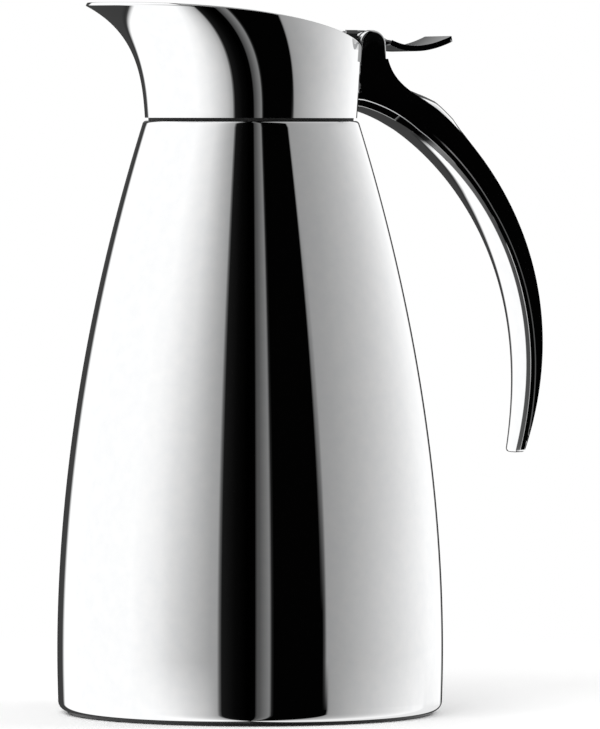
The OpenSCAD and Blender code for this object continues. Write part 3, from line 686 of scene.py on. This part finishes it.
def lever_piece(name, rows, half_w, sweep_back):
    """Part of the lever: the strip's section carried along some of its middle line. sweep_back
    moves a row's points along the strip in proportion to their distance from the middle."""
    parts = np.stack([strip_section(w) for w in half_w])
    place, up = strip[rows][:, None], above[rows][:, None]
    shift = sweep_back[:, None] * np.abs(parts[..., 0])
    points = np.stack([place[..., 0] + parts[..., 1] * up[..., 0] - shift * up[..., 1],
                       parts[..., 0],
                       place[..., 1] + parts[..., 1] * up[..., 1] + shift * up[..., 0]], 2)
    points[..., 0] = np.minimum(points[..., 0], LEVER_END)
    return surface(name, points, mirror_steel, "lid", caps=True, sharp=20)


x = strip[:, 0]
narrow = np.flatnonzero(x < 52)
lever = lever_piece("thumb_lever_strip", narrow, np.interp(x[narrow], [40, 52], [4.9, 5.18]),
                    np.zeros(len(narrow)))
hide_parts("thumb_lever")
# behind the ears the strip widens at once, with its front corners swept forward beside them
broad = np.flatnonzero(x > 51)
lever_piece("thumb_rest", broad, np.interp(x[broad], [51, 58, 64, 71], [9.9, 10.9, 11.4, 11.7]),
            np.interp(x[broad], [51, 57], [0.31, 0.0]))
barrel = np.concatenate([arc((PIN_X, PIN_UP), BARREL_RADIUS, -150, 60, 30),
                         [[42.6, 234.7], [38.6, 234.7], [38.2, 232.4]]])
surface("lever_barrel", rounded_plate(barrel, -BARREL_HALF, BARREL_HALF, 0.3), mirror_steel,
        "lid", caps=True, sharp=30)

# ---- Lid -----------------------------------------------------------------------------
# A polished steel plate glued on a black core whose hollow plug carries a silicone lip and
# is filled with white foam. The seal on the flask's mouth is of the same silicone.


def polished_abs():
    """Black ABS from a polished mould: a deep gloss, rubbed a little duller in patches."""
    material, tree, place = new_material("polished black ABS")
    # rubbed patches about 20 mm across
    rub = add(tree, "ShaderNodeTexNoise", {"Scale": 50.0, "Detail": 3.0}, Vector=place)
    tone = add(tree, "ShaderNodeValToRGB", {"stops": [(0.3, "#0B0B0C"), (0.7, "#111112")]},
               Fac=rub.outputs[0])
    gloss = add(tree, "ShaderNodeMapRange", {"From Min": 0.3, "From Max": 0.7, "To Min": 0.12,
                                             "To Max": 0.2}, i0=rub.outputs[0])
    shader = add(tree, "ShaderNodeBsdfPrincipled", {"IOR": 1.53}, Base_Color=tone.outputs[0],
                 Roughness=gloss.outputs[0])
    add(tree, "ShaderNodeOutputMaterial", Surface=shader.outputs[0])
    return material


def moulded_silicone():
    """Grey silicone from a smooth mould: satin, with the pale bloom that it takes on."""
    material, tree, place = new_material("grey silicone")
    # bloom in patches about 8 mm across
    bloom = add(tree, "ShaderNodeTexNoise", {"Scale": 120.0, "Detail": 3.0}, Vector=place)
    tone = add(tree, "ShaderNodeValToRGB", {"stops": [(0.3, "#9FA2A5"), (0.7, "#B0B2B4")]},
               Fac=bloom.outputs[0])
    shader = add(tree, "ShaderNodeBsdfPrincipled", {"Roughness": 0.5, "IOR": 1.41},
                 Base_Color=tone.outputs[0])
    add(tree, "ShaderNodeOutputMaterial", Surface=shader.outputs[0])
    return material


def closed_cell_foam():
    """Foamed polyurethane: matt and off-white, with slightly darker cell walls."""
    material, tree, place = new_material("white closed-cell foam")
    # cells about 1 mm across
    cells = add(tree, "ShaderNodeTexVoronoi", {"Scale": 900.0}, Vector=place)
    tone = add(tree, "ShaderNodeValToRGB", {"stops": [(0.0, "#D9D4C8"), (0.5, "#EFEBE0")]},
               Fac=cells.outputs[0])
    shader = add(tree, "ShaderNodeBsdfPrincipled", {"Roughness": 0.9}, Base_Color=tone.outputs[0])
    add(tree, "ShaderNodeOutputMaterial", Surface=shader.outputs[0])
    return material


dress(("lid_cover",), mirror_steel)
dress(("lid_core",), polished_abs())
dress(("lid_seal", "mouth_seal"), moulded_silicone())
dress(("lid_foam",), closed_cell_foam())

bpy.context.view_layer.update()
